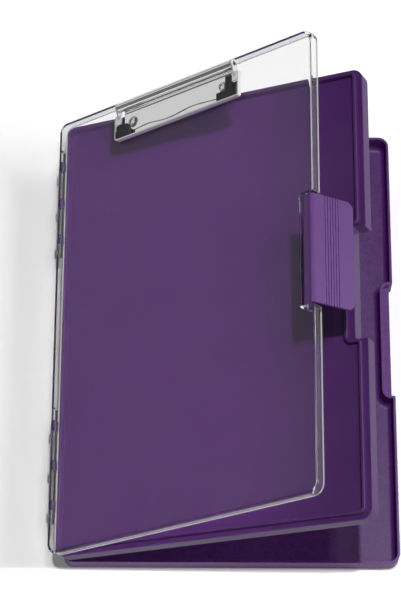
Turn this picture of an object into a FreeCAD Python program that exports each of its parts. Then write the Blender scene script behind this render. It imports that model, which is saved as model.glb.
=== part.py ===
import FreeCAD, Part
import math
import os

# Storage clipboard box: base tray, hinged middle tray, hinged clear lid with a paper clip, and a latch.
# Millimetres. X runs from the hinge side to the latch side, Y to the clip end, Z up.
# The origin is the middle of the base's underside. Every piece is shaped with the box closed and then
# turned about the hinges into the open pose.

Vector = FreeCAD.Vector

# Closed box
box_width = 245.0
box_length = 343.0
corner_radius = 8.0
base_height = 17.5
middle_height = 12.3
lid_height = 8.3
seat_gap = 0.3
overrun = 5.0
match_tolerance = 0.001

# Open pose, in degrees
middle_open_angle = 25.0
lid_open_angle = 15.2
latch_open_angle = 17.6

# Base tray
base_wall = 2.0
base_floor = 2.0
base_edge_radius = 3.0
base_floor_radius = 4.0
base_rim_radius = 0.4
recess_length = 90.0
recess_depth = 8.0
recess_mouth_radius = 1.0
recess_root_radius = 5.0
ledge_top = 10.0
ledge_thickness = 2.2

# Middle tray
middle_wall = 2.0
panel_top = 11.5
panel_thickness = 2.0
panel_ceiling_radius = 1.5
notch_length = 85.0
notch_depth = 9.5
notch_mouth_radius = 1.0
notch_root_radius = 1.5
middle_edge_radius = 0.6
tongue_inset = 3.8
tongue_thickness = 2.2
tongue_height = 5.0
tongue_clearance = 0.8
tongue_mouth_radius = 3.0
tongue_root_radius = 3.0
tongue_edge_radius = 0.6

# Clear lid
lid_plate = 2.0
lid_wall = 2.3
lid_edge_radius = 2.5
pocket_length = 83.0
pocket_depth = 11.2
pocket_wall = 2.0
pocket_mouth_radius = 1.5
pocket_root_radius = 2.0
pocket_rim_radius = 0.6

# Hinges along the left side
hinge_offset = 2.7
knuckle_radius = 2.5
hinge_pin_radius = 1.4
running_clearance = 0.05
knuckle_gap = 0.3
narrow_knuckle_length = 7.4
knuckle_spacing = 30.5
hinge_half_length = 43.8
rear_hinge_inset = 64.8
front_hinge_inset = 68.4
leaf_height = 5.5
leaf_rise = 1.5
leaf_embed = 1.0
hinge_pin_recess = 0.5
hinge_pin_chamfer = 0.3

# Latch
latch_centre_y = 2.5
latch_length = 80.5
latch_plate = 2.0
latch_tip_height = 1.0
latch_pivot_inset = 8.0
latch_pivot_height = 5.0
latch_barrel_radius = 2.6
latch_arm_thickness = 2.2
latch_shoulder_radius = 3.6
latch_inner_radius = 1.4
latch_edge_radius = 0.5
latch_tip_corner_radius = 6.0
latch_pin_radius = 1.0
latch_pin_embed = 1.6
groove_count = 6
groove_pitch = 2.2
groove_width = 0.7
groove_depth = 0.6
groove_start = 8.5
hook_length = 40.0
hook_reach = 1.5
hook_height = 1.8
hook_gap = 0.5

# Paper clip on the lid
clip_centre_x = -0.6
clip_half_width = 60.0
clip_rod_inset = 8.3
clip_depth = 26.3
clip_sheet = 1.2
clip_lid_gap = 0.2
lip_height = 3.8
jaw_corner_radius = 2.2
jaw_edge_radius = 0.4
jaw_side_length = 20.6
jaw_side_end_radius = 2.4
jaw_tab_length = 7.5
jaw_tab_thickness = 1.0
jaw_tab_width = 4.9
jaw_ear_length = 10.0
clip_plate_thickness = 1.2
clip_plate_margin = 8.0
clip_plate_gap = 6.7
clip_wave_height = 1.8
clip_apron_thickness = 0.6
clip_apron_gap = 0.5
clip_roll_radius = 3.6
clip_roll_margin = 3.5
clip_roll_bore_radius = 2.8
clip_roll_end = 1.5
clip_ear_gap = 0.3
clip_rod_radius = 1.7
clip_rod_hole_radius = 1.2
clip_rod_hole_depth = 3.0
spring_wire_radius = 0.35
spring_clearance = 0.2
spring_turns = 8
spring_pitch = 1.2
grip_clearance = 0.2
grip_foot_length_left = 13.6
grip_foot_length_right = 18.6
grip_foot_depth = 5.7
grip_leg_offset = 5.0
grip_leg_width = 5.2
grip_leg_length_left = 9.8
grip_leg_length_right = 16.8
grip_pad_length = 10.6
grip_pad_drop = 1.0
grip_rise = 0.7
grip_edge_radius = 0.5
grip_pad_gap = 0.2

# Rivets through the clip plate and the lid
rivet_margin = 16.45
rivet_rod_distance = 14.2
rivet_head_radius = 4.4
rivet_head_height = 1.1
rivet_head_edge = 0.3
rivet_crown_radius = 2.4
rivet_dimple_radius = 1.5
rivet_dimple_depth = 0.5
rivet_shank_radius = 1.6
rivet_tail_radius = 2.4
rivet_tail_height = 0.9
rivet_tail_edge_radius = 0.3
washer_radius = 3.6
washer_thickness = 0.6

# Places that the sizes above give
half_width = box_width / 2
half_length = box_length / 2
lid_bottom = base_height + middle_height
lid_top = lid_bottom + lid_height
step_top = middle_height - seat_gap
hinge_x = -half_width - hinge_offset
rear_hinge_y = half_length - rear_hinge_inset
front_hinge_y = front_hinge_inset - half_length
shelf_inset = latch_plate + seat_gap
ledge_bottom = ledge_top - ledge_thickness
latch_pivot_x = half_width - latch_pivot_inset
latch_pivot_z = lid_bottom + latch_pivot_height
lip_low = lid_top + clip_lid_gap
lip_top = lid_top + lip_height
clip_rod_y = half_length - clip_rod_inset
clip_rod_z = lip_low + clip_roll_radius
clip_front_y = clip_rod_y - clip_depth
clip_plate_top = lid_top + clip_plate_thickness
clip_plate_half_length = clip_half_width - clip_plate_margin
clip_plate_front_y = clip_front_y + clip_plate_gap
clip_roll_half_length = clip_half_width - clip_sheet - clip_roll_margin
rivet_y = clip_rod_y - rivet_rod_distance


def in_plan(z):
    return lambda u, v: Vector(u, v, z)


def in_section(y):
    return lambda u, v: Vector(u, y, v)


def in_side_view(x):
    return lambda u, v: Vector(x, u, v)


def outline_face(corners, place):
    # corners are (u, v, radius) in turn; a radius of zero leaves a sharp corner
    starts = []
    middles = []
    ends = []
    for index, (u, v, radius) in enumerate(corners):
        corner = Vector(u, v, 0)
        u_before, v_before, _ = corners[index - 1]
        u_after, v_after, _ = corners[(index + 1) % len(corners)]
        before = (Vector(u_before, v_before, 0) - corner).normalize()
        after = (Vector(u_after, v_after, 0) - corner).normalize()
        half_angle = before.getAngle(after) / 2
        reach = radius / math.tan(half_angle)
        bisector = (before + after).normalize()
        starts.append(corner + before * reach)
        ends.append(corner + after * reach)
        middles.append(corner + bisector * (radius / math.sin(half_angle) - radius))
    edges = []
    for index, (u, v, radius) in enumerate(corners):
        line_start = place(ends[index - 1].x, ends[index - 1].y)
        line_end = place(starts[index].x, starts[index].y)
        if line_start.distanceToPoint(line_end) > match_tolerance:
            edges.append(Part.LineSegment(line_start, line_end).toShape())
        if radius > 0:
            arc_middle = place(middles[index].x, middles[index].y)
            arc_end = place(ends[index].x, ends[index].y)
            edges.append(Part.Arc(line_end, arc_middle, arc_end).toShape())
    return Part.Face(Part.Wire(edges))


def upright_prism(corners, low_z, high_z):
    return outline_face(corners, in_plan(low_z)).extrude(Vector(0, 0, high_z - low_z))


def box_between(low, high):
    size = high - low
    return Part.makeBox(size.x, size.y, size.z, low)


def rod_along_y(radius, x, z, low_y, high_y):
    return Part.makeCylinder(radius, high_y - low_y, Vector(x, low_y, z), Vector(0, 1, 0))


def rod_along_x(radius, y, z, low_x, high_x):
    return Part.makeCylinder(radius, high_x - low_x, Vector(low_x, y, z), Vector(1, 0, 0))


def level_edges(shape, z):
    found = []
    for edge in shape.Edges:
        bounds = edge.BoundBox
        if abs(bounds.ZMin - z) < match_tolerance and abs(bounds.ZMax - z) < match_tolerance:
            found.append(edge)
    return found


def upright_edges(shape, x, y):
    found = []
    for edge in shape.Edges:
        bounds = edge.BoundBox
        level_gap = math.hypot(bounds.Center.x - x, bounds.Center.y - y)
        if level_gap < match_tolerance and bounds.ZLength > match_tolerance:
            found.append(edge)
    return found


def plain_corners(inset):
    x = half_width - inset
    y = half_length - inset
    radius = corner_radius - inset
    return [(-x, -y, radius), (x, -y, radius), (x, y, radius), (-x, y, radius)]


def notched_corners(depth, length, mouth_radius, root_radius, inset, notch_inset):
    # a rounded rectangle with a notch for the latch in its right side, set in from the outer faces
    x = half_width - inset
    notch_x = half_width - depth - notch_inset
    low_y = latch_centre_y - length / 2 - notch_inset
    high_y = latch_centre_y + length / 2 + notch_inset
    mouth = max(mouth_radius - notch_inset, 0)
    root = root_radius + notch_inset
    front_left, front_right, rear_right, rear_left = plain_corners(inset)
    notch = [(x, low_y, mouth), (notch_x, low_y, root), (notch_x, high_y, root), (x, high_y, mouth)]
    return [front_left, front_right] + notch + [rear_right, rear_left]


def recess_corners(inset):
    return notched_corners(recess_depth, recess_length, recess_mouth_radius, recess_root_radius, inset, inset)


def notch_corners(inset):
    return notched_corners(notch_depth, notch_length, notch_mouth_radius, notch_root_radius, inset, inset)


def pocket_corners(inset, notch_inset):
    return notched_corners(
        pocket_depth, pocket_length, pocket_mouth_radius, pocket_root_radius, inset, notch_inset
    )


def tongue_corners(thickness):
    stand_off = pocket_wall + tongue_clearance
    return notched_corners(
        pocket_depth + stand_off,
        pocket_length + 2 * stand_off,
        tongue_mouth_radius,
        tongue_root_radius,
        tongue_inset + thickness,
        thickness,
    )


def narrow_spans(centre_y):
    half = narrow_knuckle_length / 2 - knuckle_gap / 2
    spans = []
    for step in (-1, 0, 1):
        middle = centre_y + step * knuckle_spacing
        spans.append((middle - half, middle + half))
    return spans


def long_spans(centre_y):
    # the stretches that the narrow knuckles leave between them and at the two ends
    stops = [centre_y - hinge_half_length]
    for low_y, high_y in narrow_spans(centre_y):
        stops.append(low_y - knuckle_gap)
        stops.append(high_y + knuckle_gap)
    stops.append(centre_y + hinge_half_length)
    return list(zip(stops[0::2], stops[1::2]))


def knuckle(low_y, high_y, axis_z, upward):
    # barrel round the hinge axis with a leaf that slopes to the side wall; upward is 1 or -1
    inner_x = hinge_x + hinge_offset + leaf_embed
    leaf = [
        (hinge_x - knuckle_radius, axis_z, 0),
        (hinge_x - knuckle_radius, axis_z + upward * leaf_rise, 0),
        (inner_x, axis_z + upward * leaf_height, 0),
        (inner_x, axis_z + upward * seat_gap, 0),
        (hinge_x, axis_z + upward * seat_gap, 0),
        (hinge_x, axis_z, 0),
    ]
    web = outline_face(leaf, in_section(low_y)).extrude(Vector(0, high_y - low_y, 0))
    return rod_along_y(knuckle_radius, hinge_x, axis_z, low_y, high_y).fuse(web)


def add_knuckles(shape, spans_of, axis_z, upward):
    for centre_y in (rear_hinge_y, front_hinge_y):
        for low_y, high_y in spans_of(centre_y):
            shape = shape.fuse(knuckle(low_y, high_y, axis_z, upward))
        low_end = centre_y - hinge_half_length - overrun
        high_end = centre_y + hinge_half_length + overrun
        bore_radius = hinge_pin_radius + running_clearance
        shape = shape.cut(rod_along_y(bore_radius, hinge_x, axis_z, low_end, high_end))
    return shape.removeSplitter()


def make_hinge_pin(centre_y, axis_z):
    reach = hinge_half_length - hinge_pin_recess
    pin = rod_along_y(hinge_pin_radius, hinge_x, axis_z, centre_y - reach, centre_y + reach)
    rims = [edge for edge in pin.Edges if edge.Closed]
    return pin.makeChamfer(hinge_pin_chamfer, rims)


def make_base_tray():
    block = upright_prism(plain_corners(0), 0, base_height)
    block = block.makeFillet(base_edge_radius, level_edges(block, 0))
    tray = block.common(upright_prism(recess_corners(0), -overrun, base_height + overrun))
    shelf_half = recess_length / 2 + base_wall / 2
    for low_z, high_z in ((0, base_floor), (ledge_bottom, ledge_top)):
        low = Vector(half_width - recess_depth - base_wall / 2, latch_centre_y - shelf_half, low_z)
        high = Vector(half_width - shelf_inset, latch_centre_y + shelf_half, high_z)
        tray = tray.fuse(block.common(box_between(low, high)))
    hollow = upright_prism(recess_corners(base_wall), base_floor, base_height + overrun)
    hollow = hollow.makeFillet(base_floor_radius, level_edges(hollow, base_floor))
    tray = tray.cut(hollow).removeSplitter()
    tray = tray.makeFillet(base_rim_radius, level_edges(tray, base_height))
    return add_knuckles(tray, long_spans, base_height, -1)


def make_middle_tray():
    # z is counted from the base's rim here
    block = upright_prism(notch_corners(0), seat_gap, step_top)
    edges = level_edges(block, seat_gap) + level_edges(block, step_top)
    tray = block.makeFillet(middle_edge_radius, edges)
    tongue_top = step_top + tongue_height
    rib = upright_prism(tongue_corners(0), panel_top, tongue_top)
    rib = rib.cut(upright_prism(tongue_corners(tongue_thickness), panel_top, tongue_top))
    rib = rib.makeFillet(tongue_edge_radius, level_edges(rib, tongue_top))
    tray = tray.fuse(rib)
    tray = tray.cut(upright_prism(tongue_corners(tongue_thickness), panel_top, tongue_top + overrun))
    ceiling = panel_top - panel_thickness
    hollow = upright_prism(notch_corners(middle_wall), -overrun, ceiling)
    hollow = hollow.makeFillet(panel_ceiling_radius, level_edges(hollow, ceiling))
    tray = tray.cut(hollow)
    tray.translate(Vector(0, 0, base_height))
    tray = add_knuckles(tray, narrow_spans, base_height, 1)
    return add_knuckles(tray, narrow_spans, lid_bottom, -1)


def rivet_places():
    places = []
    for side in (-1, 1):
        places.append((clip_centre_x + side * (clip_half_width - rivet_margin), rivet_y))
    return places


def make_clear_lid():
    block = upright_prism(plain_corners(0), lid_bottom, lid_top)
    block = block.makeFillet(lid_edge_radius, level_edges(block, lid_top))
    lid = block.common(upright_prism(pocket_corners(0, 0), lid_bottom - overrun, lid_top + overrun))
    ceiling = lid_top - lid_plate
    lid = lid.cut(upright_prism(pocket_corners(lid_wall, pocket_wall), lid_bottom - overrun, ceiling))
    pocket_edges = []
    for edge in level_edges(lid, lid_top):
        if edge.BoundBox.XMax > half_width - pocket_depth - match_tolerance:
            if abs(edge.BoundBox.Center.y - latch_centre_y) < pocket_length / 2 + pocket_wall:
                pocket_edges.append(edge)
    lid = lid.makeFillet(pocket_rim_radius, pocket_edges)
    pin_reach = pocket_length / 2 + latch_pin_embed
    pin_radius = latch_pin_radius + running_clearance
    low_y = latch_centre_y - pin_reach
    high_y = latch_centre_y + pin_reach
    lid = lid.cut(rod_along_y(pin_radius, latch_pivot_x, latch_pivot_z, low_y, high_y))
    for x, y in rivet_places():
        hole_radius = rivet_shank_radius + running_clearance
        lid = lid.cut(Part.makeCylinder(hole_radius, lid_height + overrun, Vector(x, y, lid_bottom)))
    return add_knuckles(lid, long_spans, lid_bottom, 1)


def make_latch():
    outer_x = half_width
    inner_x = half_width - latch_plate
    arm_top = latch_pivot_z + latch_barrel_radius
    arm_low = arm_top - latch_arm_thickness
    section = [
        (latch_pivot_x, arm_top, 0),
        (outer_x, arm_top, latch_shoulder_radius),
        (outer_x, latch_tip_height, latch_edge_radius),
        (inner_x, latch_tip_height, latch_edge_radius),
        (inner_x, arm_low, latch_inner_radius),
        (latch_pivot_x, arm_low, 0),
    ]
    low_y = latch_centre_y - latch_length / 2
    high_y = latch_centre_y + latch_length / 2
    latch = outline_face(section, in_section(low_y)).extrude(Vector(0, latch_length, 0))
    tip_shape = [
        (low_y, latch_tip_height, latch_tip_corner_radius),
        (high_y, latch_tip_height, latch_tip_corner_radius),
        (high_y, lid_top + overrun, 0),
        (low_y, lid_top + overrun, 0),
    ]
    start_x = latch_pivot_x - overrun
    tip_block = outline_face(tip_shape, in_side_view(start_x))
    latch = latch.common(tip_block.extrude(Vector(outer_x + overrun - start_x, 0, 0)))
    latch = latch.fuse(rod_along_y(latch_barrel_radius, latch_pivot_x, latch_pivot_z, low_y, high_y))
    first_z = arm_top - latch_shoulder_radius - groove_start
    for index in range(groove_count):
        top_z = first_z - index * groove_pitch
        low = Vector(outer_x - groove_depth, low_y - overrun, top_z - groove_width)
        high = Vector(outer_x + overrun, high_y + overrun, top_z)
        latch = latch.cut(box_between(low, high))
    hook_top = ledge_bottom - hook_gap
    hook_section = [
        (inner_x - hook_reach, hook_top, 0),
        (inner_x - hook_reach, hook_top - hook_height / 2, 0),
        (inner_x, hook_top - hook_height, 0),
        (outer_x - groove_depth, hook_top - hook_height, 0),
        (outer_x - groove_depth, hook_top, 0),
    ]
    hook = outline_face(hook_section, in_section(latch_centre_y - hook_length / 2))
    latch = latch.fuse(hook.extrude(Vector(0, hook_length, 0)))
    bore_radius = latch_pin_radius + running_clearance
    bore = rod_along_y(bore_radius, latch_pivot_x, latch_pivot_z, low_y - overrun, high_y + overrun)
    return latch.cut(bore).removeSplitter()


def make_latch_pin():
    reach = pocket_length / 2 + latch_pin_embed - running_clearance
    low_y = latch_centre_y - reach
    high_y = latch_centre_y + reach
    return rod_along_y(latch_pin_radius, latch_pivot_x, latch_pivot_z, low_y, high_y)


def make_clip_plate():
    # pressed plate with a wavy step before a thin apron, rolled into a tube round the rod along its rear edge
    x = clip_plate_half_length
    wave_shares = [
        (-1.0, 0.5),
        (-0.85, 0.78),
        (-0.55, 0.2),
        (-0.33, 0.9),
        (-0.05, 0.95),
        (0.22, 0.0),
        (0.49, 0.35),
        (0.71, 1.0),
        (1.0, 0.7),
    ]
    front = []
    for x_share, wave_share in wave_shares:
        y = clip_plate_front_y - clip_wave_height * wave_share
        front.append(Vector(clip_centre_x + x * x_share, y, lid_top))
    curve = Part.BSplineCurve()
    curve.interpolate(front)
    rear_right = Vector(clip_centre_x + x, clip_rod_y, lid_top)
    rear_left = Vector(clip_centre_x - x, clip_rod_y, lid_top)
    edges = [
        curve.toShape(),
        Part.LineSegment(front[-1], rear_right).toShape(),
        Part.LineSegment(rear_right, rear_left).toShape(),
        Part.LineSegment(rear_left, front[0]).toShape(),
    ]
    plate = Part.Face(Part.Wire(edges)).extrude(Vector(0, 0, clip_plate_thickness))
    apron_front_y = clip_front_y + clip_sheet + clip_apron_gap
    apron_low = Vector(clip_centre_x - x, apron_front_y, lid_top)
    plate = plate.fuse(box_between(apron_low, rear_right + Vector(0, 0, clip_apron_thickness)))
    reach = clip_roll_half_length
    low_x = clip_centre_x - reach
    high_x = clip_centre_x + reach
    plate = plate.fuse(rod_along_x(clip_roll_radius, clip_rod_y, clip_rod_z, low_x, high_x))
    bore = rod_along_x(
        clip_roll_bore_radius, clip_rod_y, clip_rod_z, low_x + clip_roll_end, high_x - clip_roll_end
    )
    rod_hole = rod_along_x(
        clip_rod_radius + running_clearance, clip_rod_y, clip_rod_z, low_x - overrun, high_x + overrun
    )
    plate = plate.cut(bore).cut(rod_hole)
    for x, y in rivet_places():
        hole_radius = rivet_shank_radius + running_clearance
        plate = plate.cut(Part.makeCylinder(hole_radius, overrun, Vector(x, y, lid_top - overrun / 2)))
    return plate.removeSplitter()


def make_clip_jaw():
    # a strip bent round the front corners; behind each side an inward tab and an ear on the rod
    outer_x = clip_half_width
    inner_x = clip_half_width - clip_sheet
    front_y = clip_front_y
    rear_y = clip_front_y + jaw_side_length
    inner_radius = jaw_corner_radius - clip_sheet
    plan = [
        (-outer_x, rear_y, 0),
        (-outer_x, front_y, jaw_corner_radius),
        (outer_x, front_y, jaw_corner_radius),
        (outer_x, rear_y, 0),
        (inner_x, rear_y, 0),
        (inner_x, front_y + clip_sheet, inner_radius),
        (-inner_x, front_y + clip_sheet, inner_radius),
        (-inner_x, rear_y, 0),
    ]
    jaw = upright_prism([(clip_centre_x + x, y, radius) for x, y, radius in plan], lip_low, lip_top)
    rims = [edge for edge in level_edges(jaw, lip_top) if edge.BoundBox.YMin < rear_y - match_tolerance]
    jaw = jaw.makeFillet(jaw_edge_radius, rims)
    side_view = [
        (front_y - overrun, lip_low, 0),
        (rear_y, lip_low, 0),
        (rear_y, lip_top, jaw_side_end_radius),
        (front_y - overrun, lip_top, 0),
    ]
    low_x = clip_centre_x - outer_x
    width = 2 * outer_x
    jaw = jaw.common(outline_face(side_view, in_side_view(low_x)).extrude(Vector(width, 0, 0)))
    tab_top = lip_top - jaw_edge_radius
    tab_end_y = rear_y - jaw_edge_radius
    ear_x = clip_roll_half_length + clip_ear_gap
    ear_front_y = clip_rod_y - jaw_ear_length
    ear_side = [
        (ear_front_y, lip_low, 0),
        (clip_rod_y, lip_low, 0),
        (clip_rod_y, clip_rod_z + clip_roll_radius, 0),
        (ear_front_y, tab_top, 0),
    ]
    for side in (-1, 1):
        tab_near = clip_centre_x + side * (inner_x - jaw_tab_width)
        tab_far = clip_centre_x + side * (inner_x + clip_sheet / 2)
        tab_low = Vector(min(tab_near, tab_far), tab_end_y - jaw_tab_length, tab_top - jaw_tab_thickness)
        tab_high = Vector(max(tab_near, tab_far), tab_end_y, tab_top)
        ear_near = clip_centre_x + side * ear_x
        ear_low_x = min(ear_near, ear_near + side * clip_sheet)
        ear = outline_face(ear_side, in_side_view(ear_low_x)).extrude(Vector(clip_sheet, 0, 0))
        eye = rod_along_x(clip_roll_radius, clip_rod_y, clip_rod_z, ear_low_x, ear_low_x + clip_sheet)
        jaw = jaw.fuse(box_between(tab_low, tab_high)).fuse(ear).fuse(eye)
    rod_hole = rod_along_x(
        clip_rod_radius + running_clearance, clip_rod_y, clip_rod_z, low_x - overrun, low_x + width + overrun
    )
    return jaw.cut(rod_hole).removeSplitter()


def make_clip_rod():
    reach = clip_roll_half_length + clip_ear_gap + clip_sheet
    low_x = clip_centre_x - reach
    high_x = clip_centre_x + reach
    rod = rod_along_x(clip_rod_radius, clip_rod_y, clip_rod_z, low_x, high_x)
    for hole_low in (low_x - clip_rod_hole_depth, high_x - clip_rod_hole_depth):
        hole_high = hole_low + 2 * clip_rod_hole_depth
        rod = rod.cut(rod_along_x(clip_rod_hole_radius, clip_rod_y, clip_rod_z, hole_low, hole_high))
    return rod


def make_clip_spring(side):
    # torsion spring round the rod, inside the end of the roll
    coil_radius = clip_rod_radius + spring_clearance + spring_wire_radius
    coil_length = spring_turns * spring_pitch
    helix = Part.makeHelix(spring_pitch, coil_length, coil_radius)
    section = Part.Circle(Vector(coil_radius, 0, 0), Vector(0, 1, 0), spring_wire_radius).toShape()
    coil = Part.Wire(helix.Edges).makePipeShell([Part.Wire(section)], True, True)
    coil.rotate(Vector(0, 0, 0), Vector(0, 1, 0), 90)
    inner_end = clip_roll_half_length - clip_roll_end - spring_wire_radius - spring_clearance
    low_x = clip_centre_x + (inner_end - coil_length if side > 0 else -inner_end)
    coil.translate(Vector(low_x, clip_rod_y, clip_rod_z))
    return coil


def make_grip(side, foot_length, leg_length):
    # rubber corner inside the jaw: a raised L and a lower pad between its leg and the jaw's side
    outer_x = clip_half_width - clip_sheet - grip_clearance
    leg_x = outer_x - grip_leg_offset
    front_y = clip_front_y + clip_sheet + grip_clearance
    pad_low = clip_plate_top + grip_pad_gap
    raised_top = lip_top + grip_rise
    blocks = [
        (outer_x - foot_length, outer_x, front_y + grip_foot_depth, raised_top),
        (leg_x - grip_leg_width, leg_x, front_y + leg_length, raised_top),
        (leg_x - grip_leg_width, outer_x, front_y + grip_pad_length, lip_top - grip_pad_drop),
    ]
    grip = None
    for near_x, far_x, high_y, high_z in blocks:
        low_x = clip_centre_x + min(side * near_x, side * far_x)
        high_x = clip_centre_x + max(side * near_x, side * far_x)
        block = box_between(Vector(low_x, front_y, pad_low), Vector(high_x, high_y, high_z))
        grip = block if grip is None else grip.fuse(block)
    grip = grip.removeSplitter()
    grip_corner_radius = jaw_corner_radius - clip_sheet - grip_clearance
    grip = grip.makeFillet(grip_corner_radius, upright_edges(grip, clip_centre_x + side * outer_x, front_y))
    return grip.makeFillet(grip_edge_radius, level_edges(grip, raised_top))


def make_rivet(x, y):
    tail_top = lid_top - lid_plate - washer_thickness
    tail_low = tail_top - rivet_tail_height
    head_top = clip_plate_top + rivet_head_height
    profile = [
        (0, tail_low, 0),
        (rivet_tail_radius, tail_low, rivet_tail_edge_radius),
        (rivet_tail_radius, tail_top, 0),
        (rivet_shank_radius, tail_top, 0),
        (rivet_shank_radius, clip_plate_top, 0),
        (rivet_head_radius, clip_plate_top, 0),
        (rivet_head_radius, clip_plate_top + rivet_head_edge, 0),
        (rivet_crown_radius, head_top, rivet_dimple_depth),
        (rivet_dimple_radius, head_top - rivet_dimple_depth, 0),
        (0, head_top - rivet_dimple_depth, 0),
    ]
    solid = outline_face(profile, in_section(0)).revolve(Vector(0, 0, 0), Vector(0, 0, 1), 360)
    solid.translate(Vector(x, y, 0))
    return solid


def make_washer(x, y):
    low_z = lid_top - lid_plate - washer_thickness
    ring = Part.makeCylinder(washer_radius, washer_thickness, Vector(x, y, low_z))
    hole_radius = rivet_shank_radius + running_clearance
    return ring.cut(Part.makeCylinder(hole_radius, washer_thickness, Vector(x, y, low_z)))


def turned(shape, x, z, angle):
    # opening turns the right edge upward
    shape = shape.copy()
    shape.rotate(Vector(x, 0, z), Vector(0, -1, 0), angle)
    return shape


def open_middle(shape):
    return turned(shape, hinge_x, base_height, middle_open_angle)


def open_lid(shape):
    return open_middle(turned(shape, hinge_x, lid_bottom, lid_open_angle))


def open_latch(shape):
    return open_lid(turned(shape, latch_pivot_x, latch_pivot_z, latch_open_angle))


def make_pieces():
    left_rivet, right_rivet = rivet_places()
    return {
        "base_tray": make_base_tray(),
        "base_hinge_pin_rear": make_hinge_pin(rear_hinge_y, base_height),
        "base_hinge_pin_front": make_hinge_pin(front_hinge_y, base_height),
        "middle_tray": open_middle(make_middle_tray()),
        "lid_hinge_pin_rear": open_middle(make_hinge_pin(rear_hinge_y, lid_bottom)),
        "lid_hinge_pin_front": open_middle(make_hinge_pin(front_hinge_y, lid_bottom)),
        "clear_lid": open_lid(make_clear_lid()),
        "latch_hinge_pin": open_lid(make_latch_pin()),
        "latch": open_latch(make_latch()),
        "clip_base_plate": open_lid(make_clip_plate()),
        "clip_pivot_rod": open_lid(make_clip_rod()),
        "clip_spring_left": open_lid(make_clip_spring(-1)),
        "clip_spring_right": open_lid(make_clip_spring(1)),
        "clip_jaw": open_lid(make_clip_jaw()),
        "clip_grip_left": open_lid(make_grip(-1, grip_foot_length_left, grip_leg_length_left)),
        "clip_grip_right": open_lid(make_grip(1, grip_foot_length_right, grip_leg_length_right)),
        "clip_rivet_left": open_lid(make_rivet(*left_rivet)),
        "clip_rivet_right": open_lid(make_rivet(*right_rivet)),
        "rivet_washer_left": open_lid(make_washer(*left_rivet)),
        "rivet_washer_right": open_lid(make_washer(*right_rivet)),
    }


os.makedirs("parts", exist_ok=True)
for name, shape in make_pieces().items():
    shape.exportStep("parts/" + name + ".step")
    print(name, "solids", len(shape.Solids), "valid", shape.isValid(), "volume", round(shape.Volume, 1))
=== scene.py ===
import math
import bpy
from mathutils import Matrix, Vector

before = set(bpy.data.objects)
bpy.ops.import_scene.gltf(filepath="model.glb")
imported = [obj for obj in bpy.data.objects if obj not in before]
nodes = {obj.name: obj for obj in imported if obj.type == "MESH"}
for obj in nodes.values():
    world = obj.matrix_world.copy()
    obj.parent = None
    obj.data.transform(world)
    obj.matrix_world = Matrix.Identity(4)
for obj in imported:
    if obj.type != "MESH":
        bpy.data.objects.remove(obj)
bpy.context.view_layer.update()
scene = bpy.context.scene
print("frame loaded:", len(nodes), "nodes")


# Small helpers for node trees; x and y only place a node in the editor

def addNode(tree, kind, x=0, y=0, **inputs):
    node = tree.nodes.new(kind)
    node.location = (x, y)
    for name, value in inputs.items():
        node.inputs[name].default_value = value
    return node


def link(tree, output, target):
    tree.links.new(output, target)


def plug(tree, value, target):
    # value is a number, a colour or another node's output
    if isinstance(value, bpy.types.NodeSocket):
        link(tree, value, target)
    else:
        target.default_value = value


def addMath(tree, operation, first, second=0.0, x=0, y=0):
    node = addNode(tree, "ShaderNodeMath", x, y)
    node.operation = operation
    plug(tree, first, node.inputs[0])
    plug(tree, second, node.inputs[1])
    return node.outputs[0]


def addRange(tree, value, fromLow, fromHigh, toLow, toHigh, x=0, y=0):
    node = addNode(tree, "ShaderNodeMapRange", x, y)
    plug(tree, value, node.inputs["Value"])
    plug(tree, fromLow, node.inputs["From Min"])
    plug(tree, fromHigh, node.inputs["From Max"])
    plug(tree, toLow, node.inputs["To Min"])
    plug(tree, toHigh, node.inputs["To Max"])
    return node.outputs["Result"]


def addMix(tree, share, first, second, x=0, y=0):
    node = addNode(tree, "ShaderNodeMix", x, y)
    node.data_type = "RGBA"
    plug(tree, share, node.inputs[0])
    plug(tree, first, node.inputs[6])      # sockets 6 and 7 are the colours A and B
    plug(tree, second, node.inputs[7])
    return node.outputs[2]                 # the mixed colour


def addNoise(tree, vector, scale, detail=2.0, x=0, y=0):
    node = addNode(tree, "ShaderNodeTexNoise", x, y, Detail=detail)
    link(tree, vector, node.inputs["Vector"])
    plug(tree, scale, node.inputs["Scale"])
    return node.outputs["Fac"]


def addShade(tree, color, value, x=0, y=0):
    # the colour made lighter or darker: 1 leaves it as it is
    node = addNode(tree, "ShaderNodeHueSaturation", x, y)
    link(tree, value, node.inputs["Value"])
    link(tree, color, node.inputs["Color"])
    return node.outputs["Color"]


def addPlace(tree, x=0, y=0):
    return addNode(tree, "ShaderNodeTexCoord", x, y).outputs["Object"]


def newGroup(name, sockets):
    # sockets: (name, "INPUT" or "OUTPUT", kind, default)
    group = bpy.data.node_groups.new(name, "ShaderNodeTree")
    for socketName, side, kind, default in sockets:
        socket = group.interface.new_socket(socketName, in_out=side, socket_type=kind)
        if default is not None:
            socket.default_value = default
    start = addNode(group, "NodeGroupInput", -1100, 0)
    end = addNode(group, "NodeGroupOutput", 1100, 0)
    return group, start, end


def useGroup(tree, group, x=0, y=0, **inputs):
    node = addNode(tree, "ShaderNodeGroup", x, y)
    node.node_tree = group
    for name, value in inputs.items():
        plug(tree, value, node.inputs[name])
    return node


def newMaterial(name, color, roughness, **settings):
    material = bpy.data.materials.new(name)
    material.use_nodes = True
    tree = material.node_tree
    shader = tree.nodes["Principled BSDF"]
    shader.inputs["Base Color"].default_value = color
    shader.inputs["Roughness"].default_value = roughness
    for key, value in settings.items():
        shader.inputs[key].default_value = value
    return material, tree, shader


def dress(material, *nodeNames):
    for nodeName in nodeNames:
        target = nodes[nodeName]
        target.data.materials.clear()
        target.data.materials.append(material)


# Effects that several materials share, each with the values that shape its pattern

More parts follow.
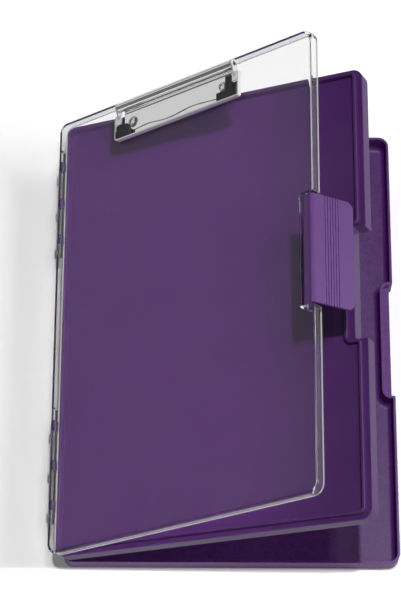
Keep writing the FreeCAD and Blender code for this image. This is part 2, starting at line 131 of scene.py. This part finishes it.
floatKind = "NodeSocketFloat"
colorKind = "NodeSocketColor"
vectorKind = "NodeSocketVector"
plainGrey = (0.5, 0.5, 0.5, 1.0)

grainShape = {
    "fineDetail": 3.0, "coarseScale": 0.37, "coarseDetail": 1.0, "coarseWeight": 0.6,
    "middle": 0.8, "driftScale": 13.0, "driftDetail": 3.0, "driftMiddle": 0.5, "driftLow": 0.3,
    "driftHigh": 0.7,
}
wearAndShadeShape = {
    "samples": 4, "flat": 0.995, "sharp": 0.86, "breakScale": 170.0, "breakDetail": 4.0,
    "breakLow": 0.35, "breakHigh": 0.62, "leastWearAndShade": 0.15,
}
scratchShape = {
    "angles": (24.0, -38.0, 81.0), "shift": (0.3, 0.7), "stretch": (9.0, 1500.0, 40.0),
    "limitNone": 0.82, "limitFull": 0.66, "softness": 0.04,
}
dustShape = {
    "steep": 0.4, "level": 0.95, "patchScale": 24.0, "patchDetail": 4.0, "patchLow": 0.4,
    "patchHigh": 0.7, "patchLeast": 0.3, "speckScale": 1900.0, "speckDetail": 1.0,
    "speckLow": 0.66, "speckHigh": 0.74, "speckLeast": 0.4, "speckMost": 3.0,
}
drawnShape = {
    "lineDetail": 3.0, "lineMiddle": 0.5, "cloudScale": 60.0, "cloudDetail": 3.0,
    "roughFrom": 0.75, "roughTo": 1.25,
}


def makeGrainGroup(look):
    # moulded grain: pits of about a millimetre, a wide drift of tone and a rough or shiny drift
    group, start, end = newGroup("mouldedGrain", [
        ("Color", "INPUT", colorKind, plainGrey),
        ("Scale", "INPUT", floatKind, 800.0),
        ("Tone", "INPUT", floatKind, 0.1),
        ("Drift", "INPUT", floatKind, 0.1),
        ("RoughLow", "INPUT", floatKind, 0.45),
        ("RoughHigh", "INPUT", floatKind, 0.6),
        ("Color", "OUTPUT", colorKind, None),
        ("Height", "OUTPUT", floatKind, None),
        ("Roughness", "OUTPUT", floatKind, None),
    ])
    place = addPlace(group, -900, 300)
    fine = addNoise(group, place, start.outputs["Scale"], look["fineDetail"], -700, 300)
    coarseScale = addMath(group, "MULTIPLY", start.outputs["Scale"], look["coarseScale"], -900, 0)
    coarse = addNoise(group, place, coarseScale, look["coarseDetail"], -700, 100)
    wide = addNoise(group, place, look["driftScale"], look["driftDetail"], -700, -100)
    height = addMath(group, "MULTIPLY_ADD", coarse, look["coarseWeight"], -400, 200)
    link(group, fine, height.node.inputs[2])      # the third input is what is added
    speckle = addMath(group, "SUBTRACT", height, look["middle"], -200, 200)
    toned = addMath(group, "MULTIPLY", speckle, start.outputs["Tone"], 0, 200)
    drift = addMath(group, "SUBTRACT", wide, look["driftMiddle"], -200, 0)
    drifted = addMath(group, "MULTIPLY", drift, start.outputs["Drift"], 0, 0)
    both = addMath(group, "ADD", toned, drifted, 200, 100)
    value = addMath(group, "ADD", both, 1.0, 400, 100)
    rough = addRange(group, wide, look["driftLow"], look["driftHigh"], start.outputs["RoughLow"],
                     start.outputs["RoughHigh"], 600, -200)
    link(group, height, end.inputs["Height"])
    link(group, addShade(group, start.outputs["Color"], value, 600, 100), end.inputs["Color"])
    link(group, rough, end.inputs["Roughness"])
    return group


def makeWearAndShadeGroup(look):
    # edges rubbed by hands, and on the clip plate a painted dark reflection and shade along its
    # edges: 1 on sharp
    # # outer and inner corners, broken up by noise, 0 on the flats
    group, start, end = newGroup("edgeWearAndShade", [
        ("Radius", "INPUT", floatKind, 0.001),
        ("Amount", "INPUT", floatKind, 0.5),
        ("Mask", "OUTPUT", floatKind, None),
    ])
    place = addPlace(group, -900, -200)
    geometry = addNode(group, "ShaderNodeNewGeometry", -900, 200)
    bevel = addNode(group, "ShaderNodeBevel", -700, 0)
    bevel.samples = look["samples"]
    link(group, start.outputs["Radius"], bevel.inputs["Radius"])
    match = addNode(group, "ShaderNodeVectorMath", -500, 100)
    match.operation = "DOT_PRODUCT"
    link(group, geometry.outputs["Normal"], match.inputs[0])
    link(group, bevel.outputs["Normal"], match.inputs[1])
    bend = addRange(group, match.outputs["Value"], look["flat"], look["sharp"], 0.0, 1.0,
                    -300, 100)
    breakup = addNoise(group, place, look["breakScale"], look["breakDetail"], -500, -200)
    broken = addRange(group, breakup, look["breakLow"], look["breakHigh"], look["leastWearAndShade"], 1.0,
                      -300, -200)
    wornAndShaded = addMath(group, "MULTIPLY", bend, broken, 0, 0)
    mask = addMath(group, "MULTIPLY", wornAndShaded, start.outputs["Amount"], 200, 0)
    link(group, mask, end.inputs["Mask"])
    return group


def makeScratchGroup(look):
    # hairline scratches in three directions: 1 in a scratch, 0 elsewhere
    group, start, end = newGroup("hairScratches", [
        ("Density", "INPUT", floatKind, 0.5),
        ("Mask", "OUTPUT", floatKind, None),
    ])
    place = addPlace(group, -1000, 0)
    limit = addRange(group, start.outputs["Density"], 0.0, 1.0, look["limitNone"],
                     look["limitFull"], -600, -400)
    edge = addMath(group, "ADD", limit, look["softness"], -400, -400)
    shiftX, shiftY = look["shift"]
    total = None
    for index, angle in enumerate(look["angles"]):
        y = 250 * index
        turn = addNode(group, "ShaderNodeMapping", -800, y)
        turn.inputs["Rotation"].default_value = (0.0, 0.0, math.radians(angle))
        turn.inputs["Location"].default_value = (shiftX * index, shiftY * index, 0.0)
        turn.inputs["Scale"].default_value = look["stretch"]
        link(group, place, turn.inputs["Vector"])
        lines = addNoise(group, turn.outputs["Vector"], 1.0, 1.0, -600, y)
        one = addRange(group, lines, limit, edge, 0.0, 1.0, -300, y)
        total = one if total is None else addMath(group, "MAXIMUM", total, one, 0, y)
    link(group, total, end.inputs["Mask"])
    return group


def makeDustGroup(look):
    # a little pale dust on faces that look up, in patches and specks
    group, start, end = newGroup("settledDust", [
        ("Color", "INPUT", colorKind, plainGrey),
        ("Dust", "INPUT", colorKind, (0.62, 0.6, 0.63, 1.0)),
        ("Amount", "INPUT", floatKind, 0.03),
        ("Color", "OUTPUT", colorKind, None),
    ])
    place = addPlace(group, -900, -200)
    geometry = addNode(group, "ShaderNodeNewGeometry", -900, 200)
    split = addNode(group, "ShaderNodeSeparateXYZ", -700, 200)
    link(group, geometry.outputs["Normal"], split.inputs[0])
    up = addRange(group, split.outputs["Z"], look["steep"], look["level"], 0.0, 1.0, -500, 200)
    patchNoise = addNoise(group, place, look["patchScale"], look["patchDetail"], -700, -100)
    patches = addRange(group, patchNoise, look["patchLow"], look["patchHigh"],
                       look["patchLeast"], 1.0, -400, -100)
    speckNoise = addNoise(group, place, look["speckScale"], look["speckDetail"], -700, -300)
    specks = addRange(group, speckNoise, look["speckLow"], look["speckHigh"],
                      look["speckLeast"], look["speckMost"], -400, -300)
    cover = addMath(group, "MULTIPLY", patches, specks, -100, -200)
    lying = addMath(group, "MULTIPLY", cover, up, 100, 0)
    share = addMath(group, "MULTIPLY", lying, start.outputs["Amount"], 300, 0)
    mixed = addMix(group, share, start.outputs["Color"], start.outputs["Dust"], 600, 0)
    link(group, mixed, end.inputs["Color"])
    return group


def makeDrawnGroup(look):
    # lines left by drawing or brushing: Stretch is small along them
    group, start, end = newGroup("drawnLines", [
        ("Color", "INPUT", colorKind, plainGrey),
        ("Stretch", "INPUT", vectorKind, (1.0, 1.0, 1.0)),
        ("Scale", "INPUT", floatKind, 900.0),
        ("Tone", "INPUT", floatKind, 0.1),
        ("RoughLow", "INPUT", floatKind, 0.15),
        ("RoughHigh", "INPUT", floatKind, 0.3),
        ("Color", "OUTPUT", colorKind, None),
        ("Height", "OUTPUT", floatKind, None),
        ("Roughness", "OUTPUT", floatKind, None),
    ])
    place = addPlace(group, -1000, 200)
    stretched = addNode(group, "ShaderNodeVectorMath", -800, 200)
    stretched.operation = "MULTIPLY"
    link(group, place, stretched.inputs[0])
    link(group, start.outputs["Stretch"], stretched.inputs[1])
    lines = addNoise(group, stretched.outputs["Vector"], start.outputs["Scale"],
                     look["lineDetail"], -600, 200)
    clouds = addNoise(group, place, look["cloudScale"], look["cloudDetail"], -600, -100)
    centred = addMath(group, "SUBTRACT", lines, look["lineMiddle"], -300, 200)
    toned = addMath(group, "MULTIPLY", centred, start.outputs["Tone"], -100, 200)
    value = addMath(group, "ADD", toned, 1.0, 100, 200)
    mixed = addMath(group, "ADD", lines, clouds, -100, -100)
    rough = addRange(group, mixed, look["roughFrom"], look["roughTo"], start.outputs["RoughLow"],
                     start.outputs["RoughHigh"], 400, -100)
    link(group, addShade(group, start.outputs["Color"], value, 400, 200), end.inputs["Color"])
    link(group, lines, end.inputs["Height"])
    link(group, rough, end.inputs["Roughness"])
    return group


grainGroup = makeGrainGroup(grainShape)
wearAndShadeGroup = makeWearAndShadeGroup(wearAndShadeShape)
scratchGroup = makeScratchGroup(scratchShape)
dustGroup = makeDustGroup(dustShape)
drawnGroup = makeDrawnGroup(drawnShape)
print("shared effects done")


def addScratched(tree, roughness, density, amount):
    # the roughness, raised by amount where there is a scratch
    scratches = useGroup(tree, scratchGroup, -900, -500, Density=density)
    more = addMath(tree, "MULTIPLY", scratches.outputs["Mask"], amount, -650, -400)
    return addMath(tree, "ADD", roughness, more, -400, -200)


def plugBump(tree, shader, height, strength, depth):
    bump = addNode(tree, "ShaderNodeBump", -250, -350, Strength=strength, Distance=depth)
    link(tree, height, bump.inputs["Height"])
    link(tree, bump.outputs["Normal"], shader.inputs["Normal"])


# Purple moulded plastic, the same plastic in all three parts: base tray with a coarse grain, middle
# tray almost
# # smooth, latch paler. The middle tray's darker colour is painted shade, and the latch's paler
# colour is painted light.
plastics = {
    "base_tray": {
        "color": (0.076, 0.007, 0.144, 1.0), "wornAndShaded": (0.17, 0.07, 0.26, 1.0), "wearAndShade": 0.35,
        "grain": 700.0, "tone": 1.5, "drift": 0.16, "bump": 0.55, "depth": 0.00018,
        "rough": (0.46, 0.54), "dust": 0.035, "scratches": 0.35,
    },
    # darker colour: painted shade on the same purple plastic
    "middle_tray": {
        "color": (0.053, 0.0055, 0.102, 1.0), "wornAndShaded": (0.15, 0.06, 0.23, 1.0), "wearAndShade": 0.3,
        "grain": 1100.0, "tone": 0.06, "drift": 0.08, "bump": 0.04, "depth": 0.00005,
        "rough": (0.46, 0.55), "dust": 0.02, "scratches": 0.45,
    },
    # paler colour: painted light on the same purple plastic
    "latch": {
        "color": (0.097, 0.026, 0.17, 1.0), "wornAndShaded": (0.2, 0.1, 0.29, 1.0), "wearAndShade": 0.4,
        "grain": 1500.0, "tone": 0.1, "drift": 0.08, "bump": 0.12, "depth": 0.00008,
        "rough": (0.42, 0.5), "dust": 0.0, "scratches": 0.5,
    },
}
plasticWear = {"radius": 0.0012, "scratchRough": 0.12}


def makePlastic(name, look):
    low, high = look["rough"]
    material, tree, shader = newMaterial(name.replace("_", " ") + " plastic", look["color"], low)
    grain = useGroup(tree, grainGroup, -900, 100, Color=look["color"], Scale=look["grain"],
                     Tone=look["tone"], Drift=look["drift"], RoughLow=low, RoughHigh=high)
    wearAndShade = useGroup(tree, wearAndShadeGroup, -900, -300, Radius=plasticWear["radius"],
                    Amount=look["wearAndShade"])
    dusty = useGroup(tree, dustGroup, -650, 100, Color=grain.outputs["Color"],
                     Amount=look["dust"])
    wornAndShaded = addMix(tree, wearAndShade.outputs["Mask"], dusty.outputs["Color"], look["wornAndShaded"], -400, 100)
    roughness = addScratched(tree, grain.outputs["Roughness"], look["scratches"],
                             plasticWear["scratchRough"])
    link(tree, wornAndShaded, shader.inputs["Base Color"])
    link(tree, roughness, shader.inputs["Roughness"])
    plugBump(tree, shader, grain.outputs["Height"], look["bump"], look["depth"])
    return material


for nodeName, look in plastics.items():
    dress(makePlastic(nodeName, look), nodeName)

# Clear lid: polished plastic with fine scratches; lamps shine through it by the shadow colour
clear = {
    "tint": (0.86, 0.86, 0.865, 1.0), "ior": 1.31, "roughness": 0.012, "scratched": 0.1,
    "scratches": 0.4, "shadow": (0.94, 0.94, 0.94, 1.0), "ripple": 30.0, "bump": 0.3,
    "depth": 0.00001,
}


def makeClearPlastic(look):
    material, tree, shader = newMaterial("clear plastic", look["tint"], look["roughness"])
    shader.inputs["Transmission Weight"].default_value = 1.0
    shader.inputs["IOR"].default_value = look["ior"]
    scratches = useGroup(tree, scratchGroup, -700, -100, Density=look["scratches"])
    rough = addRange(tree, scratches.outputs["Mask"], 0.0, 1.0, look["roughness"],
                     look["scratched"], -400, -100)
    link(tree, rough, shader.inputs["Roughness"])
    ripple = addNoise(tree, addPlace(tree, -900, -400), look["ripple"], 1.0, -700, -400)
    plugBump(tree, shader, ripple, look["bump"], look["depth"])
    through = addNode(tree, "ShaderNodeBsdfTransparent", 0, -300, Color=look["shadow"])
    path = addNode(tree, "ShaderNodeLightPath", 0, 400)
    mix = addNode(tree, "ShaderNodeMixShader", 300, 100)
    link(tree, path.outputs["Is Shadow Ray"], mix.inputs["Fac"])
    link(tree, shader.outputs["BSDF"], mix.inputs[1])
    link(tree, through.outputs["BSDF"], mix.inputs[2])
    link(tree, mix.outputs["Shader"], tree.nodes["Material Output"].inputs["Surface"])
    return material


dress(makeClearPlastic(clear), "clear_lid")

# Metals: plated clip, rivets, drawn wire and rod, and dark hinge pins. The clip plate's edge colour
# is dark,
# # a painted reflection and shade on all its edges and steps, for the dark part of the room that
# its corners mirror.
metals = {
    "clip plate": {
        # painted dark reflection and shade: this dark edge colour, at full strength, draws lines on
        # every edge of the plate
        "color": (0.97, 0.97, 0.975, 1.0), "wornAndShaded": (0.03, 0.03, 0.033, 1.0), "wearAndShade": 1.0,
        "stretch": (0.04, 1.0, 1.0), "scale": 1400.0, "tone": 0.04, "rough": (0.05, 0.09),
        "bump": 0.02, "metallic": 1.0, "pieces": ("clip_base_plate",),
    },
    "clip jaw": {
        "color": (0.86, 0.86, 0.865, 1.0), "wornAndShaded": (0.7, 0.69, 0.67, 1.0), "wearAndShade": 0.12,
        "stretch": (0.04, 1.0, 1.0), "scale": 1200.0, "tone": 0.05, "rough": (0.05, 0.09),
        "bump": 0.02, "metallic": 0.6, "pieces": ("clip_jaw",),
    },
    "rivet": {
        "color": (0.88, 0.88, 0.885, 1.0), "wornAndShaded": (0.65, 0.64, 0.62, 1.0), "wearAndShade": 0.15,
        "stretch": (1.0, 1.0, 1.0), "scale": 900.0, "tone": 0.08, "rough": (0.06, 0.12),
        "bump": 0.02, "metallic": 1.0, "pieces": ("clip_rivet_left", "clip_rivet_right"),
    },
    "drawn steel": {
        "color": (0.55, 0.55, 0.56, 1.0), "wornAndShaded": (0.38, 0.37, 0.35, 1.0), "wearAndShade": 0.2,
        "stretch": (0.05, 1.0, 1.0), "scale": 2200.0, "tone": 0.25, "rough": (0.24, 0.36),
        "bump": 0.12, "metallic": 1.0,
        "pieces": ("clip_pivot_rod", "clip_spring_left", "clip_spring_right",
                   "latch_hinge_pin", "rivet_washer_left", "rivet_washer_right"),
    },
    "dark pin": {
        "color": (0.012, 0.007, 0.022, 1.0), "wornAndShaded": (0.08, 0.07, 0.1, 1.0), "wearAndShade": 0.25,
        "stretch": (1.0, 0.05, 1.0), "scale": 1800.0, "tone": 0.3, "rough": (0.7, 0.85),
        "bump": 0.1, "metallic": 0.0,
        "pieces": ("base_hinge_pin_rear", "base_hinge_pin_front", "lid_hinge_pin_rear",
                   "lid_hinge_pin_front"),
    },
}
metalWearAndShade = {"radius": 0.0006, "scratches": 0.5, "scratchRough": 0.1, "depth": 0.00005}


def makeMetal(name, look):
    low, high = look["rough"]
    material, tree, shader = newMaterial(name, look["color"], low, Metallic=look["metallic"])
    lines = useGroup(tree, drawnGroup, -700, 100, Color=look["color"], Stretch=look["stretch"],
                     Scale=look["scale"], Tone=look["tone"], RoughLow=low, RoughHigh=high)
    wearAndShade = useGroup(tree, wearAndShadeGroup, -700, -300, Radius=metalWearAndShade["radius"], Amount=look["wearAndShade"])
    # on the clip plate this mix lays painted dark reflection and shade along the edges
    wornAndShaded = addMix(tree, wearAndShade.outputs["Mask"], lines.outputs["Color"], look["wornAndShaded"], -400, 100)
    roughness = addScratched(tree, lines.outputs["Roughness"], metalWearAndShade["scratches"],
                             metalWearAndShade["scratchRough"])
    link(tree, wornAndShaded, shader.inputs["Base Color"])
    link(tree, roughness, shader.inputs["Roughness"])
    plugBump(tree, shader, lines.outputs["Height"], look["bump"], metalWearAndShade["depth"])
    return material


for metalName, look in metals.items():
    dress(makeMetal(metalName, look), *look["pieces"])

# Black rubber grips on the clip's corners
rubber = {
    "color": (0.018, 0.018, 0.019, 1.0), "wornAndShaded": (0.11, 0.11, 0.115, 1.0), "wearAndShade": 0.6,
    "wearRadius": 0.0005, "grain": 1600.0, "tone": 0.4, "drift": 0.3, "bump": 0.35,
    "depth": 0.00005, "rough": (0.5, 0.68), "dust": 0.06,
}


def makeRubber(look):
    low, high = look["rough"]
    material, tree, shader = newMaterial("black rubber", look["color"], low)
    grain = useGroup(tree, grainGroup, -700, 100, Color=look["color"], Scale=look["grain"],
                     Tone=look["tone"], Drift=look["drift"], RoughLow=low, RoughHigh=high)
    wearAndShade = useGroup(tree, wearAndShadeGroup, -700, -300, Radius=look["wearRadius"], Amount=look["wearAndShade"])
    dusty = useGroup(tree, dustGroup, -500, 100, Color=grain.outputs["Color"],
                     Amount=look["dust"])
    wornAndShaded = addMix(tree, wearAndShade.outputs["Mask"], dusty.outputs["Color"], look["wornAndShaded"], -300, 100)
    link(tree, wornAndShaded, shader.inputs["Base Color"])
    link(tree, grain.outputs["Roughness"], shader.inputs["Roughness"])
    plugBump(tree, shader, grain.outputs["Height"], look["bump"], look["depth"])
    return material


dress(makeRubber(rubber), "clip_grip_left", "clip_grip_right")
print("materials done")

# Camera at the photograph's place, fitted to the box's edges
camera = {
    "x": -0.02052, "y": -0.60034, "z": 1.59464, "downDegrees": 68.112, "turnDegrees": 0.275,
    "lens": 134.05, "sensor": 36.0, "near": 0.05, "far": 20.0,
}


def addCamera(look):
    data = bpy.data.cameras.new("camera")
    data.sensor_fit = "VERTICAL"
    data.sensor_height = look["sensor"]
    data.lens = look["lens"]
    data.clip_start = look["near"]
    data.clip_end = look["far"]
    rig = bpy.data.objects.new("camera", data)
    rig.location = (look["x"], look["y"], look["z"])
    tilt = math.radians(90.0 - look["downDegrees"])
    rig.rotation_euler = (tilt, 0.0, math.radians(look["turnDegrees"]))
    scene.collection.objects.link(rig)
    scene.camera = rig


addCamera(camera)

firstBounce = 0.5      # a depth below this means that the light hasn't bounced yet


def addBackdropMask(tree, x, y):
    # 1 where the camera sees the surface, straight or through the clear lid, 0 for other light
    path = addNode(tree, "ShaderNodeLightPath", x, y)
    seen = addMath(tree, "MAXIMUM", path.outputs["Is Camera Ray"],
                   path.outputs["Is Transmission Ray"], x + 200, y)
    bounces = addMath(tree, "ADD", path.outputs["Diffuse Depth"], path.outputs["Glossy Depth"],
                      x + 200, y - 200)
    direct = addMath(tree, "LESS_THAN", bounces, firstBounce, x + 400, y - 200)
    return addMath(tree, "MULTIPLY", seen, direct, x + 600, y)


# Floor: the object's shadow is kept near it, and the camera sees white further away. The lift is
# how much white is added: from near to far by the distance, and at the ends and the left side,
# where the photograph shows no shadow.
floorLook = {
    "size": 6.0, "color": (0.96, 0.96, 0.96, 1.0), "roughness": 0.9, "near": 0.24, "far": 0.45,
    "nearLift": 0.08, "farLift": 0.9,
}
# painted light: white that the camera sees, which covers the object's shadow in front of it and
# pales it behind it and beyond its left side
paintedFloorLight = [
    # axis, where the lift starts, where it is full, lift
    ("Y", -0.17, -0.177, 0.9),
    ("Y", 0.118, 0.158, 0.25),
    ("X", -0.155, -0.178, 0.22),
]


def addFloor(look):
    half = look["size"] / 2
    mesh = bpy.data.meshes.new("floor")
    corners = [(-half, -half, 0), (half, -half, 0), (half, half, 0), (-half, half, 0)]
    mesh.from_pydata(corners, [], [(0, 1, 2, 3)])
    floor = bpy.data.objects.new("floor", mesh)
    scene.collection.objects.link(floor)
    material, tree, shader = newMaterial("floor", look["color"], look["roughness"])
    place = addPlace(tree, -900, -400)
    away = addNode(tree, "ShaderNodeVectorMath", -700, -400)
    away.operation = "LENGTH"
    link(tree, place, away.inputs[0])
    glow = addRange(tree, away.outputs["Value"], look["near"], look["far"], look["nearLift"],
                    look["farLift"], -500, -400)
    split = addNode(tree, "ShaderNodeSeparateXYZ", -700, -650)
    link(tree, place, split.inputs[0])
    for index, (axis, start, full, amount) in enumerate(paintedFloorLight):
        paintedLight = addRange(tree, split.outputs[axis], start, full, 0.0, amount,
                            -500, -650 - 250 * index)
        glow = addMath(tree, "MAXIMUM", glow, paintedLight, -400, -400)
    lift = addMath(tree, "MULTIPLY", addBackdropMask(tree, -1200, 0), glow, -250, 0)
    shader.inputs["Emission Color"].default_value = (1.0, 1.0, 1.0, 1.0)
    link(tree, lift, shader.inputs["Emission Strength"])
    mesh.materials.append(material)


addFloor(floorLook)

# Studio light: two small lamps almost overhead and soft boxes at the right and in front
aim = (0.0, 0.0, 0.06)
lamps = [
    # name, direction from the object, distance, size, watts
    ("key", (0.08, -0.05, 1.0), 2.2, 0.06, 27.0),
    ("soft key", (0.24, 0.0, 1.0), 2.2, 0.17, 5.0),
    ("right box", (1.0, 0.0, 0.45), 2.4, 1.0, 29.0),
    ("front box", (0.2, -1.0, 0.18), 2.4, 0.8, 10.0),
]

# Room: dark, apart from a band low at the rear that polished surfaces mirror. The band and the
# fades are heights of the looking direction, darkFront and brightRear are its share to the rear,
# and frontShare is what is left of the band in front.
room = {
    "glossHorizon": 0.6, "lightHorizon": 0.04, "glossZenith": 0.1, "lightZenith": 0.02,
    "fadeLow": 0.0, "bandLow": 0.06, "bandTop": 0.2, "fadeTop": 0.3, "darkFront": 0.12,
    "brightRear": 0.26, "frontShare": 0.08, "backdrop": 1.0,
}


def addLamps():
    for name, direction, distance, size, watts in lamps:
        data = bpy.data.lights.new(name, "AREA")
        data.shape = "SQUARE"
        data.size = size
        data.energy = watts
        lamp = bpy.data.objects.new(name, data)
        away = Vector(direction).normalized()
        lamp.location = Vector(aim) + away * distance
        lamp.rotation_euler = (-away).to_track_quat("-Z", "Y").to_euler()
        lamp.visible_transmission = False      # the lid's shadow colour already lets it through
        scene.collection.objects.link(lamp)


def addRoom(look):
    world = bpy.data.worlds.new("room")
    world.use_nodes = True
    scene.world = world
    tree = world.node_tree
    background = tree.nodes["Background"]
    split = addNode(tree, "ShaderNodeSeparateXYZ", -1000, 300)
    place = addNode(tree, "ShaderNodeTexCoord", -1200, 300)
    link(tree, place.outputs["Generated"], split.inputs[0])
    path = addNode(tree, "ShaderNodeLightPath", -1200, 600)
    first = addMath(tree, "LESS_THAN", path.outputs["Diffuse Depth"], firstBounce, -1000, 750)
    bounced = addMath(tree, "MAXIMUM", path.outputs["Is Glossy Ray"],
                      path.outputs["Is Transmission Ray"], -1000, 600)
    mirrored = addMath(tree, "MULTIPLY", bounced, first, -900, 600)
    horizon = addRange(tree, mirrored, 0.0, 1.0, look["lightHorizon"], look["glossHorizon"],
                       -800, 600)
    zenith = addRange(tree, mirrored, 0.0, 1.0, look["lightZenith"], look["glossZenith"],
                      -600, 500)
    above = addRange(tree, split.outputs["Z"], look["bandTop"], look["fadeTop"], 1.0, 0.0,
                     -800, 300)
    below = addRange(tree, split.outputs["Z"], look["fadeLow"], look["bandLow"], 0.0, 1.0,
                     -800, 100)
    ring = addMath(tree, "MULTIPLY", above, below, -600, 200)
    rear = addRange(tree, split.outputs["Y"], look["darkFront"], look["brightRear"],
                    look["frontShare"], 1.0, -800, -100)
    band = addMath(tree, "MULTIPLY", ring, rear, -500, 200)
    glow = addRange(tree, band, 0.0, 1.0, zenith, horizon, -450, 300)
    strength = addRange(tree, addBackdropMask(tree, -1200, -100), 0.0, 1.0, glow,
                        look["backdrop"], -300, 0)
    link(tree, strength, background.inputs["Strength"])
    background.inputs["Color"].default_value = (1.0, 1.0, 1.0, 1.0)


addLamps()
addRoom(room)
scene.view_settings.view_transform = "Standard"
print("stage done")
